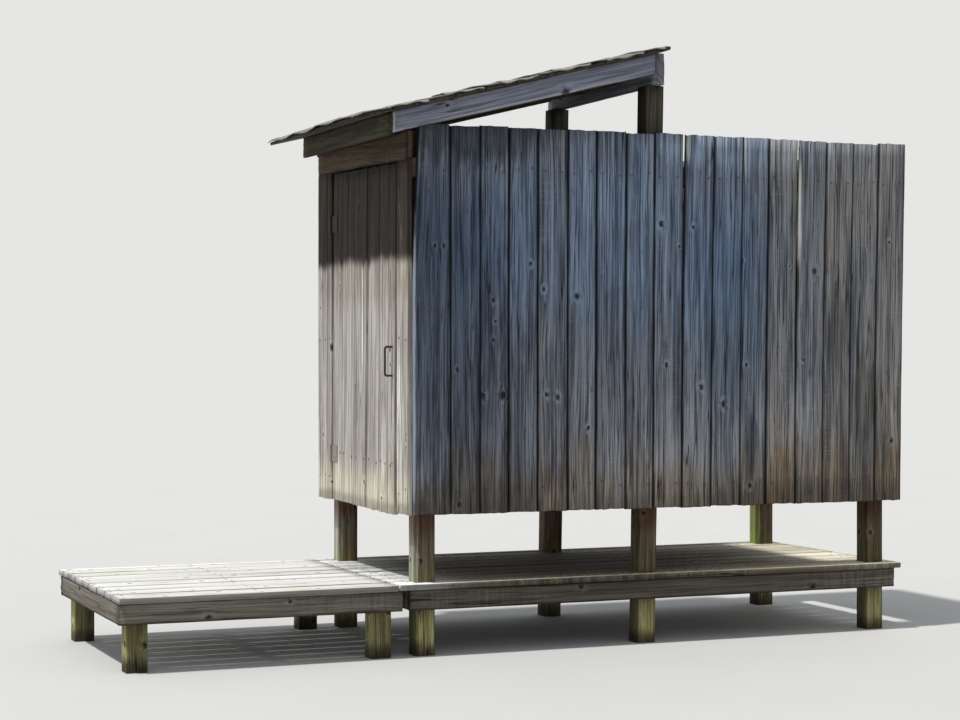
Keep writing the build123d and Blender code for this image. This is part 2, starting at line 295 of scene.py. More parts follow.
def timber_group(grain, rust):
    """Colour and height of weathered timber: pale streaks, dark annual ring lines, a tint that some boards
    have more of, paler rims round dark knots, black cracks, rust under nails, and darker edges and
    lower ends."""
    inputs = {
        "Grain": "vector",
        "Board": "vector",
        "Knot": "vector",
        "Second Knot": "vector",
        "Nail": "vector",
        "Place": "vector",
        "Line Pitch": "value",
        "Light": "colour",
        "Middle": "colour",
        "Dark": "colour",
        "Tint": "colour",
        "Contrast": "value",
        "Rust": "value",
        "Edge": "value",
    }
    tree, w, given, out = new_group("weathered_timber", inputs, {"Color": "colour", "Height": "value"})
    chance, warmth, lightness = w.split(given["Board"])
    mask = w.group(
        grain,
        Grain=given["Grain"],
        Chance=chance,
        Knot=given["Knot"],
        Second_Knot=given["Second Knot"],
        Line_Pitch=given["Line Pitch"],
    )
    pale = w.plus(w.times(mask["Streak"], 0.9), w.times(w.minus(mask["Fibre"], 0.5), 0.55))
    pale = w.plus(pale, w.times(w.minus(mask["Broad"], 0.5), 0.5))
    pale_here = w.ramp(pale, 0.22, 0.74)
    colour = w.mix(pale_here, given["Middle"], given["Light"])
    deep = w.plus(w.times(mask["Lines"], 0.45), w.times(w.minus(0.62, mask["Streak"]), 1.5))
    deep = w.plus(deep, w.times(w.minus(0.5, mask["Broad"]), 0.8))
    colour = w.mix(w.times(w.ramp(deep, 0.10, 0.70), given["Contrast"]), colour, given["Dark"])
    warm_here = w.plus(warmth, w.times(w.minus(mask["Broad"], 0.5), 0.8))
    change = w.mix(1.0, given["Tint"], given["Middle"], blend="DIVIDE")
    colour = w.mix(w.times(w.ramp(warm_here, 0.2, 1.1), 0.85), colour, change, blend="MULTIPLY")
    colour = w.mix(w.times(mask["Smudge"], w.times(given["Contrast"], 0.7)), colour, given["Dark"])
    colour = w.mix(w.times(mask["Saw"], w.times(warmth, 0.30)), colour, given["Light"])
    colour = w.mix(w.times(mask["Rim"], 0.7), colour, given["Light"])
    knot_colour = w.mix(mask["Eye"], given["Dark"], crack_black)
    colour = w.mix(w.times(mask["Knot"], 0.9), colour, knot_colour)
    colour = w.mix(w.times(mask["Crack"], 0.85), colour, crack_black)
    stain = w.group(rust, Nail=given["Nail"], Grain=given["Grain"], Streak=mask["Streak"])["Mask"]
    colour = w.mix(w.times(stain, given["Rust"]), colour, rust_run)
    side, start, _ = w.split(given["Place"])
    ragged = w.times(w.minus(mask["Streak"], 0.5), 0.006)
    edge = w.ramp(w.plus(side, ragged), 0.0005, 0.0095, 1.0, 0.0)
    sawn = w.ramp(start, 0.0002, 0.005, 0.6, 0.0)
    colour = w.mix(w.times(w.greater(edge, sawn), given["Edge"]), colour, crack_black)
    value = w.plus(w.times(lightness, 0.40), 0.80)
    colour = w.mix(1.0, colour, w.vector(value, value, value), blend="MULTIPLY")
    w.feed(out["Color"], colour)
    w.feed(out["Height"], mask["Height"])
    return tree


def growth_and_shade_group():
    """Where algae, moss, dirt or stain has settled, and also where shade and cast shadows are painted:
    a smooth step on noise that is lifted as the level goes from one value to another."""
    inputs = {"Point": "vector", "Level": "value", "From": "value", "To": "value", "Size": "value"}
    tree, w, given, out = new_group("growth_and_shade", inputs, {"Mask": "value"})
    reach = w.ramp(given["Level"], given["From"], given["To"])
    patch = w.noise(given["Point"], given["Size"], detail=5.0, roughness=0.68)
    both = w.plus(w.times(reach, 1.15), w.minus(w.times(patch, 1.5), 1.05))
    w.feed(out["Mask"], w.ramp(both, 0.0, 0.75))
    return tree


def spot_group():
    """A soft spot: a smooth step on the distance from its middle over its reach, broken up by noise
    that is stretched along the height. Spots stand for stains, and also for painted light and shade."""
    inputs = {"Point": "vector", "Middle": "vector", "Reach": "vector"}
    tree, w, given, out = new_group("stain_and_shade_spot", inputs, {"Mask": "value"})
    off = w.add("ShaderNodeVectorMath", {0: given["Point"], 1: given["Middle"]}, operation="SUBTRACT")
    part = w.add("ShaderNodeVectorMath", {0: off.outputs[0], 1: given["Reach"]}, operation="DIVIDE")
    distance = w.add("ShaderNodeVectorMath", {0: part.outputs[0]}, operation="LENGTH").outputs["Value"]
    x, y, z = w.split(given["Point"])
    uneven = w.noise(w.vector(w.times(x, 60.0), w.times(y, 60.0), w.times(z, 7.0)), detail=3.0)
    w.feed(out["Mask"], w.ramp(w.plus(distance, w.times(w.minus(uneven, 0.5), 1.1)), 0.45, 1.1, 1.0, 0.0))
    return tree


knot_mask = knot_group()
timber = timber_group(grain_group(knot_mask), rust_run_group())
growth_and_shade = growth_and_shade_group()
spot = spot_group()


def new_material(name):
    """An empty material with its wires and its surface shader."""
    material = bpy.data.materials.new(name)
    material.use_nodes = True
    material.node_tree.nodes.clear()
    w = Wires(material.node_tree)
    surface = w.add("ShaderNodeBsdfPrincipled")
    output = w.add("ShaderNodeOutputMaterial")
    w.feed(output.inputs["Surface"], surface.outputs["BSDF"])
    return material, w, surface


def turned(w, colour, middle, target, amount):
    """The colour times what turns the middle tone into the target, so that the grain still shows."""
    change = [goal / start for goal, start in zip(target[:3], middle[:3])]
    return w.mix(amount, colour, (*change, 1.0), blend="MULTIPLY")


def wood(name, light, middle, dark, tint, overlays=(), spots=(), **options):
    """Weathered timber in four colours, with overlays and spots over it: algae, moss, dirt and stains,
    and also painted light and shade.

    An overlay is (colour, amount, which level, from, to, patch size). The level is the distance
    from the board's side, from its start or from its end, or the height above the ground. A spot
    or a painted lit edge is (colour, amount, middle, reach)."""
    material, w, surface = new_material(name)
    place = w.attribute("place")
    base = w.group(
        timber,
        Grain=w.add("ShaderNodeUVMap", uv_map="grain").outputs[0],
        Board=w.attribute("board"),
        Knot=w.attribute("knot"),
        Second_Knot=w.attribute("second_knot"),
        Nail=w.attribute("nail"),
        Place=place,
        Line_Pitch=options.get("line_pitch", 0.013),
        Light=light,
        Middle=middle,
        Dark=dark,
        Tint=tint,
        Contrast=options.get("contrast", 0.6),
        Rust=options.get("rust", 0.7),
        Edge=options.get("edge", 0.6),
    )
    colour = base["Color"]
    point = w.add("ShaderNodeTexCoord").outputs["Object"]
    side, start, end = w.split(place)
    across, along, _ = w.split(w.add("ShaderNodeUVMap", uv_map="grain").outputs[0])
    chance, _, _ = w.split(w.attribute("board"))
    streaky = w.vector(w.times(across, 3.0), w.times(along, 0.6), w.times(chance, 40.0))
    shift = w.times(w.minus(chance, 0.5), options.get("spread", 0.0))
    levels = {
        "side": side,
        "start": w.plus(start, shift),
        "end": w.plus(end, shift),
        "height": w.plus(w.split(point)[2], shift),
    }
    for overlay_colour, amount, level, first, last, size in overlays:
        patch = w.group(growth_and_shade, Point=streaky, Level=levels[level], From=first, To=last, Size=size)
        colour = turned(w, colour, middle, overlay_colour, w.times(patch["Mask"], amount))
    for spot_colour, amount, middle_place, reach in spots:
        patch = w.group(spot, Point=point, Middle=middle_place, Reach=reach)
        colour = turned(w, colour, middle, spot_colour, w.times(patch["Mask"], amount))
    for edge_colour, amount, middle_place, reach in options.get("pale_edges", ()):
        patch = w.group(spot, Point=point, Middle=middle_place, Reach=reach)
        colour = w.mix(w.times(patch["Mask"], amount), colour, edge_colour)
    w.feed(surface.inputs["Base Color"], colour)
    w.feed(surface.inputs["Roughness"], w.ramp(base["Height"], 0.0, 1.4, 0.95, 0.74))
    surface.inputs["Specular IOR Level"].default_value = 0.22
    feeds = {"Strength": options.get("relief", 0.6), "Distance": 0.0022, "Height": base["Height"]}
    w.feed(surface.inputs["Normal"], w.add("ShaderNodeBump", feeds).outputs["Normal"])
    return material


# The front board wall's lower left corner on its outer face; places on the walls are given from it.
wall_corner = np.array(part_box("front_wall")[0])
end_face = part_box("left_strip_front")[0][0]


def on_front(x, z):
    """A place on the front wall: metres along it and above the ground."""
    return (wall_corner[0] + x, wall_corner[1], z)


def on_end(y, z):
    """A place on the door end: metres back from the front wall's face and above the ground."""
    return (end_face, wall_corner[1] + y, z)


def sunlit_left_side(node):
    """The middle of a post's left side where it shows between the deck and the wall, where painted sunlight goes."""
    low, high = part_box(node)
    return (low[0], (low[1] + high[1]) / 2, 0.46)


def front_shade(node):
    """The shade on a post's front face between the deck and the wall, as a spot."""
    low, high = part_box(node)
    return (shade(74, 63, 46), 0.9, ((low[0] + high[0]) / 2, low[1], 0.46), (0.11, 0.035, 0.36))


def wood_materials():
    """Every timber finish on the shower."""
    made = {}
    post_nodes = sorted(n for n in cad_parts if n.startswith("post_"))
    # The front, rear and right walls. The boards' dark blue-grey tones are painted sky shade over weathered grey wood.
    made["wall"] = wood(
        "weathered_wall_boards_painted_light_and_shade",
        shade(146, 151, 158),
        shade(97, 102, 110),
        shade(44, 46, 52),
        shade(112, 104, 95),
        overlays=(
            # Bluer and darker towards the boards' tops: painted sky shade. Warmer brown-grey towards their lower ends.
            (shade(80, 88, 101), 0.65, "start", 0.10, 0.80, 5.0),
            (shade(90, 85, 78), 0.85, "start", 0.48, 0.02, 5.0),
        ),
        spots=(
            # Most of these spots are painted shade and painted light: bluer shade over the middle, darker shade over
            # the left boards and at the top left, narrow diagonal shadows on the right boards, and lighter patches
            # where light fell. The narrow dark streak 1.64 m along is a stain.
            (shade(75, 88, 102), 0.65, on_front(1.52, 1.50), (0.25, 0.1, 0.6)),
            (shade(60, 69, 82), 0.8, on_front(0.12, 1.50), (0.42, 0.1, 0.9)),
            (shade(92, 105, 123), 0.8, on_front(0.95, 1.80), (1.05, 0.1, 0.55)),
            (shade(78, 83, 93), 0.8, on_front(0.42, 0.88), (0.42, 0.1, 0.60)),
            (shade(87, 91, 99), 0.7, on_front(1.0, 1.06), (0.40, 0.1, 0.3)),
            (shade(86, 90, 96), 0.65, on_front(0.86, 1.42), (0.40, 0.1, 0.22)),
            (shade(114, 122, 131), 0.65, on_front(0.93, 1.99), (0.24, 0.1, 0.16)),
            (shade(85, 90, 95), 0.7, on_front(1.94, 1.92), (0.16, 0.1, 0.4)),
            (shade(83, 88, 92), 0.7, on_front(2.33, 0.82), (0.16, 0.1, 0.3)),
            (shade(46, 46, 48), 0.75, on_front(0.22, 2.26), (0.56, 0.1, 0.17)),
            (shade(122, 133, 146), 0.65, on_front(1.62, 2.24), (0.62, 0.1, 0.13)),
            (shade(106, 105, 103), 0.5, on_front(2.20, 1.60), (0.34, 0.1, 1.0)),
            (shade(66, 70, 78), 0.75, on_front(2.10, 1.42), (0.075, 0.1, 0.26)),
            (shade(60, 60, 60), 0.7, on_front(2.24, 1.08), (0.075, 0.1, 0.30)),
            (shade(116, 120, 128), 0.7, on_front(0.95, 0.80), (0.34, 0.1, 0.18)),
            (shade(110, 115, 121), 0.7, on_front(1.94, 0.92), (0.14, 0.1, 0.28)),
            (shade(76, 79, 84), 0.75, on_front(1.90, 0.63), (0.80, 0.1, 0.11)),
            (shade(80, 84, 90), 0.8, on_front(0.28, 0.64), (0.36, 0.1, 0.14)),
            (shade(82, 84, 84), 0.6, on_front(1.79, 0.70), (0.09, 0.1, 0.20)),
            (shade(122, 124, 128), 0.6, on_front(0.65, 0.63), (0.09, 0.1, 0.12)),
            (shade(40, 42, 50), 0.7, on_front(1.64, 0.91), (0.042, 0.1, 0.20)),
        ),
        # Painted highlights: the sunlit left edges of a few boards, the first board's by the corner among them.
        pale_edges=(
            (shade(150, 158, 168), 0.9, on_front(-0.005, 1.25), (0.010, 0.1, 1.10)),
            (shade(188, 188, 180), 0.9, on_front(1.892, 1.98), (0.013, 0.1, 0.40)),
            (shade(170, 174, 178), 0.7, on_front(1.608, 2.20), (0.008, 0.1, 0.14)),
            (shade(180, 180, 170), 0.7, on_front(1.315, 2.23), (0.012, 0.1, 0.10)),
        ),
        contrast=0.85,
        spread=0.18,
        edge=0.85,
        rust=0.35,
    )
    made["end_wall"] = wood(
        "weathered_end_boards_painted_light_and_shade",
        shade(199, 195, 190),
        shade(148, 142, 138),
        shade(88, 81, 76),
        shade(153, 141, 129),
        overlays=(
            # Dark from 1.63 m up: the eave's cast shadow painted in, over wood that is browner under the eave. Lighter
            # and creamier towards the bottom.
            (shade(38, 31, 27), 0.97, "height", 1.63, 1.76, 4.0),
            (shade(186, 180, 162), 0.75, "height", 0.98, 0.62, 4.0),
        ),
        spots=(
            # The first spot is painted shade just under the eave shadow's edge, the third lightens the painted shadow
            # over the front strip, and the fifth is a painted highlight on a proud board's edge. The others are stains
            # and paler patches.
            (shade(130, 121, 114), 0.6, on_end(0.60, 1.63), (0.1, 1.00, 0.14)),
            (shade(154, 142, 127), 0.4, on_end(0.08, 1.60), (0.1, 0.09, 0.18)),
            (shade(180, 180, 162), 0.7, on_end(0.06, 1.92), (0.1, 0.08, 0.30)),
            (shade(168, 150, 124), 0.8, on_end(1.14, 2.06), (0.1, 0.12, 0.10)),
            (shade(226, 224, 218), 0.95, on_end(0.572, 1.46), (0.05, 0.009, 0.34)),
            (shade(196, 193, 188), 0.7, on_end(0.12, 0.98), (0.1, 0.06, 0.36)),
            (shade(196, 193, 188), 0.6, on_end(0.30, 0.90), (0.1, 0.04, 0.20)),
        ),
        contrast=0.5,
        line_pitch=0.021,
        spread=0.03,
        edge=0.3,
    )
    # The header and its cover are brown wood, drawn darker still for the eave's shadow on them: painted shade.
    made["header"] = wood(
        "header_board",
        shade(86, 74, 56),
        shade(62, 53, 39),
        shade(34, 28, 21),
        shade(57, 54, 36),
    )
    made["cover"] = wood(
        "brown_header_cover",
        shade(78, 62, 43),
        shade(54, 43, 30),
        shade(28, 22, 16),
        shade(52, 49, 31),
    )
    made["post"] = wood(
        "treated_posts",
        shade(190, 178, 142),
        shade(136, 122, 90),
        shade(78, 62, 44),
        shade(146, 122, 94),
        overlays=(
            (shade(106, 68, 50), 0.7, "height", 0.42, 0.60, 8.0),
            (shade(62, 72, 56), 0.92, "height", 1.20, 1.60, 8.0),
            (shade(134, 132, 78), 0.6, "height", 0.50, 0.28, 7.0),
            (shade(60, 50, 38), 0.75, "height", 0.12, 0.0, 12.0),
        ),
        spots=(
            *(front_shade(node) for node in post_nodes),
            # Painted sunlight on the posts' left faces; on the rear right post it is yellow-green, algae in the sun.
            (shade(214, 208, 182), 0.8, sunlit_left_side("post_front_left"), (0.016, 0.12, 0.30)),
            (shade(214, 208, 182), 0.8, sunlit_left_side("post_rear_left"), (0.020, 0.12, 0.30)),
            (shade(196, 204, 116), 0.85, sunlit_left_side("post_rear_right"), (0.020, 0.12, 0.30)),
        ),
        line_pitch=0.009,
        rust=0.0,
    )
    made["frame"] = wood(
        "treated_framing",
        shade(128, 108, 84),
        shade(98, 80, 60),
        shade(58, 46, 34),
        shade(86, 88, 66),
        line_pitch=0.010,
        rust=0.0,
    )
    # Blue-grey timber for the rakes and the beam: the blue cast is painted sky shade, as on the front wall. It is paler
    # along the edges, and the front rake's lower end carries a painted highlight.
    made["rake"] = wood(
        "grey_roof_timber",
        shade(146, 151, 166),
        shade(112, 118, 135),
        shade(66, 68, 79),
        shade(118, 112, 108),
        overlays=((shade(156, 158, 160), 0.6, "side", 0.020, 0.0, 10.0),),
        pale_edges=((shade(184, 184, 180), 0.8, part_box("rake_front")[0], (0.014, 0.1, 0.2)),),
        rust=0.4,
    )
    made["fascia"] = wood(
        "eave_board",
        shade(76, 72, 54),
        shade(55, 52, 38),
        shade(28, 26, 19),
        shade(64, 52, 37),
        spots=((shade(60, 66, 40), 0.6, on_end(0.08, 2.27), (0.4, 0.13, 0.05)),),
    )
    made["sheathing"] = wood(
        "roof_boards",
        shade(96, 88, 78),
        shade(68, 61, 53),
        shade(36, 32, 28),
        shade(62, 58, 46),
        rust=0.3,
    )
    made["deck"] = wood(
        "bleached_deck_boards",
        shade(232, 233, 233),
        shade(214, 213, 209),
        shade(158, 154, 147),
        shade(206, 200, 184),
        overlays=((shade(150, 144, 130), 0.55, "side", 0.010, 0.0, 16.0),),
        contrast=0.45,
    )
    deck_low, deck_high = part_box("deck_boards")
    deck_middle = (deck_low[1] + deck_high[1]) / 2
    # Painted shade over the stall deck's middle, where the walls shade it, and painted sunlight at its open left end
    # and its right end.
    painted_shade_middle = (0.6 * deck_low[0] + 0.4 * deck_high[0], deck_middle, deck_high[2])
    painted_sunlit_open_end = (deck_low[0], deck_middle, deck_high[2])
    painted_sunlit_end = (deck_high[0] - 0.10, deck_middle, deck_high[2])
    made["stall_deck"] = wood(
        "stall_deck_boards_painted_light_and_shade",
        shade(176, 168, 148),
        shade(150, 141, 120),
        shade(92, 83, 68),
        shade(134, 130, 100),
        overlays=((shade(80, 74, 62), 0.6, "side", 0.010, 0.0, 16.0),),
        spots=(
            (shade(62, 54, 45), 0.92, painted_shade_middle, (1.05, 0.8, 0.3)),
            (shade(214, 206, 184), 0.95, painted_sunlit_end, (0.50, 0.70, 0.3)),
            (shade(214, 213, 209), 0.95, painted_sunlit_open_end, (0.36, 1.3, 0.3)),
        ),
        contrast=0.5,
    )
    # Painted shade along the middle of the front rim, under the stall.
    rim_painted_shade_middle = ((deck_low[0] + deck_high[0]) / 2, deck_low[1], deck_low[2])
    made["rim"] = wood(
        "deck_rim_timber",
        shade(128, 123, 112),
        shade(96, 92, 83),
        shade(50, 47, 41),
        shade(86, 84, 64),
        overlays=((shade(52, 48, 40), 0.6, "side", 0.020, 0.0, 9.0),),
        spots=((shade(66, 62, 55), 0.8, rim_painted_shade_middle, (1.6, 0.1, 0.3)),),
    )
    return made


def shingle_material():
    """Mineral granules: fine speckle over clouds of fading, lichen discs, moss at the lower edges and
    dark worn sides."""
    material, w, surface = new_material("granule_shingles")
    point = w.add("ShaderNodeTexCoord").outputs["Object"]
    side, start, _ = w.split(w.attribute("place"))
    chance, warmth, _ = w.split(w.attribute("board"))
    granules = w.noise(point, 900.0, detail=1.0)
    cloud = w.noise(point, 16.0, detail=4.0, roughness=0.6)
    base = w.mix(chance, shade(132, 132, 131), shade(158, 157, 153))
    colour = w.mix(w.ramp(granules, 0.35, 0.65), w.mix(0.5, base, shade(88, 88, 88)), base)
    colour = w.mix(w.times(w.ramp(cloud, 0.45, 0.7), 0.5), colour, shade(170, 169, 162))
    cells = w.add("ShaderNodeTexVoronoi", {"Vector": point, "Scale": 24.0}).outputs["Distance"]
    ragged = w.plus(cells, w.times(w.noise(point, 120.0), 0.25))
    lichen = w.times(w.ramp(ragged, 0.22, 0.34, 1.0, 0.0), w.ramp(warmth, 0.1, 0.5))
    colour = w.mix(w.times(lichen, 0.8), colour, shade(188, 190, 176))
    moss = w.group(growth_and_shade, Point=point, Level=start, From=0.035, To=0.0, Size=22.0)
    colour = w.mix(w.times(moss["Mask"], 0.35), colour, shade(116, 116, 92))
    wear = w.group(growth_and_shade, Point=point, Level=side, From=0.006, To=0.0, Size=40.0)
    colour = w.mix(w.times(wear["Mask"], 0.5), colour, shade(70, 66, 62))
    w.feed(surface.inputs["Base Color"], colour)
    surface.inputs["Roughness"].default_value = 0.95
    surface.inputs["Specular IOR Level"].default_value = 0.2
    height = w.plus(granules, w.plus(w.times(lichen, 1.2), w.times(moss["Mask"], 2.5)))
    bump = w.add("ShaderNodeBump", {"Strength": 0.7, "Distance": 0.0015, "Height": height})
    w.feed(surface.inputs["Normal"], bump.outputs["Normal"])
    return material


def rust_material():
    """Rusted steel: dark brown scale in two sizes with a few smoother bare places."""
    material, w, surface = new_material("rusted_steel")
    point = w.add("ShaderNodeTexCoord").outputs["Object"]
    scale = w.noise(point, 160.0, detail=4.0, roughness=0.7)
    patch = w.noise(point, 38.0, detail=3.0)
    colour = w.mix(w.ramp(scale, 0.35, 0.65), shade(44, 38, 34), shade(78, 62, 52))
    colour = w.mix(w.times(w.ramp(patch, 0.5, 0.7), 0.7), colour, shade(66, 63, 61))
    w.feed(surface.inputs["Base Color"], colour)
    w.feed(surface.inputs["Roughness"], w.ramp(patch, 0.5, 0.7, 0.85, 0.55))
    w.feed(surface.inputs["Metallic"], w.ramp(patch, 0.5, 0.7, 0.1, 0.6))
    bump = w.add("ShaderNodeBump", {"Strength": 0.6, "Distance": 0.0006, "Height": scale})
    w.feed(surface.inputs["Normal"], bump.outputs["Normal"])
    return material


def galvanised_material():
    """Old zinc gone as grey as the boards: dull bloom in two sizes with brown specks, and the eave's
    shadow painted on from 1.63 m up, as it is on the boards."""
    material, w, surface = new_material("dull_galvanised_steel")
    point = w.add("ShaderNodeTexCoord").outputs["Object"]
    bloom = w.noise(point, 70.0, detail=5.0, roughness=0.7)
    specks = w.noise(point, 260.0, detail=2.0)
    colour = w.mix(w.ramp(bloom, 0.3, 0.7), shade(128, 121, 114), shade(156, 149, 141))
    colour = w.mix(w.times(w.ramp(specks, 0.58, 0.7), 0.7), colour, shade(104, 86, 70))
    painted_eave_shadow = w.ramp(w.split(point)[2], 1.63, 1.76)
    colour = w.mix(painted_eave_shadow, colour, shade(42, 36, 32))
    w.feed(surface.inputs["Base Color"], colour)
    w.feed(surface.inputs["Roughness"], w.ramp(bloom, 0.3, 0.7, 0.6, 0.85))
    surface.inputs["Metallic"].default_value = 0.3
    bump = w.add("ShaderNodeBump", {"Strength": 0.4, "Distance": 0.0005, "Height": bloom})
    w.feed(surface.inputs["Normal"], bump.outputs["Normal"])
    return material


materials = wood_materials()
materials["shingle"] = shingle_material()
materials["rust"] = rust_material()
materials["galvanised"] = galvanised_material()


# Boards and timbers


def nearest_marks(centres, marks, rank, reach, squeeze=1.0):
    """For each face the mark that comes next after rank nearer ones, with no size beyond the reach.

    Lengths along the board count squeeze times as much as lengths across it."""
    if len(marks) <= rank:
        return np.zeros((len(centres), 3))
    marks = np.asarray(marks, float)
    apart = np.hypot(centres[:, None, 0] - marks[:, 0], (centres[:, None, 1] - marks[:, 1]) * squeeze)
    chosen = np.argsort(apart, axis=1)[:, rank : rank + 1]
    found = marks[chosen[:, 0]]
    found[:, 0] += centres[:, 2]
    found[:, 2] *= np.take_along_axis(apart, chosen, 1)[:, 0] < reach
    return found


def section(width, thickness, columns, arris):
    """The closed section: front face, right side, back face and left side in turn."""
    face = np.linspace(-width / 2 + arris, width / 2 - arris, columns + 1)
    near = np.full(columns + 1, -thickness / 2)
    side = thickness / 2 - arris
    across = np.concatenate([face, [width / 2, width / 2], face[::-1], [-width / 2, -width / 2]])
    through = np.concatenate([near, [-side, side], -near, [side, -side]])
    return across, through


def end_cap(columns):
    """An end's faces: strips from front to back, and the two sides."""
    last = 2 * columns + 3
    steps = np.arange(columns)
    strips = np.stack([steps, steps + 1, last - steps - 1, last - steps], -1)
    right = [columns, columns + 1, columns + 2, columns + 3]
    left = [last, last + 1, last + 2, 0]
    return np.vstack([strips, right, left])


class Timber:
    """Gathers boards into one mesh. A board is a section with cut corners carried along its length."""

    def __init__(self, seed):
        self.chance = np.random.default_rng(seed)
        self.points = []
        self.faces = []
        self.grain = []
        self.places = []
        self.face_facts = {"board": [], "knot": [], "second_knot": [], "nail": []}
        self.nail_places = []
        self.count = 0

    def board(self, start, along, through, length, width, thickness, **shape):
        """Adds one board. Each point is start + along*s + across*a + through*t, where a and t are the
        section's point plus a lean that grows with s, a bow as a half sine, a cup as a parabola
        over the width, a twist in proportion to s, and a lift of the start."""
        chance = self.chance
        columns = shape.get("columns", 6)
        warp = shape.get("warp", 1.0)
        start = np.asarray(start, float)
        along = np.asarray(along, float)
        through = np.asarray(through, float)
        across = np.asarray(shape.get("across", np.cross(through, along)), float)
        stations = max(3, int(round(length / shape.get("spacing", 0.06))))
        a, t = section(width, thickness, columns, shape.get("arris", 0.002))
        s = np.broadcast_to(np.linspace(0.0, length, stations + 1)[:, None], (stations + 1, a.size))
        a = np.broadcast_to(a, s.shape)
        t = np.broadcast_to(t, s.shape)
        part = s / length
        bow = chance.normal(0, 0.0009) * warp * np.sin(np.pi * part)
        edge = 0.0006 * warp * np.sin(s * chance.uniform(14, 30) + chance.uniform(0, 6)) * np.sign(a)
        cup = chance.normal(0, 0.0010) * warp * (1 - (2 * a / width) ** 2)
        twist = chance.normal(0, 0.020) * warp * a * (part - 0.5)
        belly = chance.normal(0, 0.0014) * warp * np.sin(np.pi * part + chance.uniform(-0.6, 0.6))
        lift = shape.get("proud", 0.0) + shape.get("curl", 0.0) * (1 - part) ** 2
        lift = lift + shape.get("tilt", 0.0) * (1 - part)
        jag = chance.normal(0, 1.0, a.shape[1]) * shape.get("ragged", 0.0015)
        jag[columns + 3 : 2 * columns + 4] = jag[: columns + 1][::-1]
        ends = s + jag * (part > 0.999) - chance.permutation(jag)[None, :] * (part < 0.001)
        across_by = a + shape.get("lean", 0.0) * part**1.5 + bow + edge
        if "sides" in shape:
            left, right = shape["sides"]
            across_by = across_by + left(part) * (0.5 - a / width) + right(part) * (0.5 + a / width)
        through_by = t + cup + twist + belly - lift
        place = start + ends[..., None] * along
        place = place + across_by[..., None] * across + through_by[..., None] * through
        if "bend" in shape:
            place = shape["bend"](place)
        loop = a.shape[1]
        steps = np.arange(loop)
        rows = np.arange(stations)[:, None] * loop
        following = (steps + 1) % loop
        sides = np.stack([rows + steps, rows + following, rows + loop + following, rows + loop + steps], -1)
        cap = end_cap(columns)
        faces = np.vstack([sides.reshape(-1, 4), cap[:, ::-1], cap + stations * loop])
        if np.linalg.det(np.stack([across, through, along])) < 0:
            faces = faces[:, ::-1]
        self.points.append(place.reshape(-1, 3))
        self.faces.append(faces + self.count)
        self.count += place.shape[0] * loop
        self.grain.append(np.stack([a + t, s], -1).reshape(-1, 2))
        self.places.append(np.stack([width / 2 - np.abs(a), s, length - s], -1).reshape(-1, 3))
        centres = np.stack([a, s, t], -1).reshape(-1, 3)[faces].mean(1)
        knots = shape.get("knots", ())
        nails = shape.get("nails", ())
        warmth, lightness = shape.get("tone", chance.uniform(0, 1, 2) * (0.7, 1.0))
        facts = {
            "board": np.broadcast_to((chance.uniform(), warmth, lightness), centres.shape),
            "knot": nearest_marks(centres, knots, 0, 0.14),
            "second_knot": nearest_marks(centres, knots, 1, 0.14),
            "nail": nearest_marks(centres, nails, 0, 0.045, 0.15),
        }
        for name, values in facts.items():
            self.face_facts[name].append(values)
        for nail_a, nail_s, _ in nails:
            row = min(stations, max(0, int(round(nail_s / length * stations))))
            column = int(np.argmin(np.abs(a[0, : columns + 1] - nail_a)))
            self.nail_places.append((place[row, column] + (nail_s - s[row, column]) * along, -through))

    def finish(self, name, material, body, nodes, slot):
        """Puts the boards into one object, with their grain map and attributes, and registers it."""
        faces = np.vstack(self.faces)
        piece = mesh_object(name, np.vstack(self.points), faces, materials[material])
        mesh = piece.data
        layer = mesh.uv_layers.new(name="grain")
        layer.data.foreach_set("uv", np.vstack(self.grain)[faces.ravel()].ravel())
        place = mesh.attributes.new("place", "FLOAT_VECTOR", "POINT")
        place.data.foreach_set("vector", np.vstack(self.places).astype(np.float32).ravel())
        for fact, values in self.face_facts.items():
            attribute = mesh.attributes.new(fact, "FLOAT_VECTOR", "FACE")
            attribute.data.foreach_set("vector", np.vstack(values).astype(np.float32).ravel())
        all_nails[body] += self.nail_places
        register(piece, body, nodes)


def mesh_object(name, points, faces, material):
    """A mesh object at the origin from arrays of points and of four-cornered faces."""
    mesh = bpy.data.meshes.new(name)
    mesh.vertices.add(len(points))
    mesh.vertices.foreach_set("co", np.asarray(points, np.float32).ravel())
    mesh.loops.add(faces.size)
    mesh.loops.foreach_set("vertex_index", faces.astype(np.int32).ravel())
    mesh.polygons.add(len(faces))
    mesh.polygons.foreach_set("loop_start", np.arange(len(faces), dtype=np.int32) * 4)
    mesh.update(calc_edges=True)
    mesh.validate()
    mesh.materials.append(material)
    piece = bpy.data.objects.new(name, mesh)
    bpy.context.scene.collection.objects.link(piece)
    return piece


def register(piece, body, nodes):
    """Puts a piece under the body that carries it, and hides the nodes it stands for."""
    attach(piece, body)
    if nodes:
        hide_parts(*nodes)


all_nails = {"frame": [], "door": []}


def corner_box(node):
    """A node's lowest and highest corner as arrays."""
    low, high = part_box(node)
    return np.array(low), np.array(high)


def scatter_knots(chance, length, width, count, sizes=(0.006, 0.013)):
    """A few knots at random places, kept well apart along the board."""
    if count == 0:
        return []
    slots = (np.arange(count) + chance.uniform(0.15, 0.85, count)) / count * length
    across = chance.uniform(-0.36, 0.36, count) * width
    return [(a, s, r) for a, s, r in zip(across, slots, chance.uniform(*sizes, count))]


def nail_rows(width, levels, chance):
    """Two nails across the board at each level, or one in a narrow board, a little off line."""
    offsets = (nail_inset - width / 2, width / 2 - nail_inset) if width > 0.08 else (0.0,)
    return [
        (offset + chance.normal(0, 0.003), level + chance.normal(0, 0.006), 1.0)
        for level in levels
        for offset in offsets
    ]


# Walls

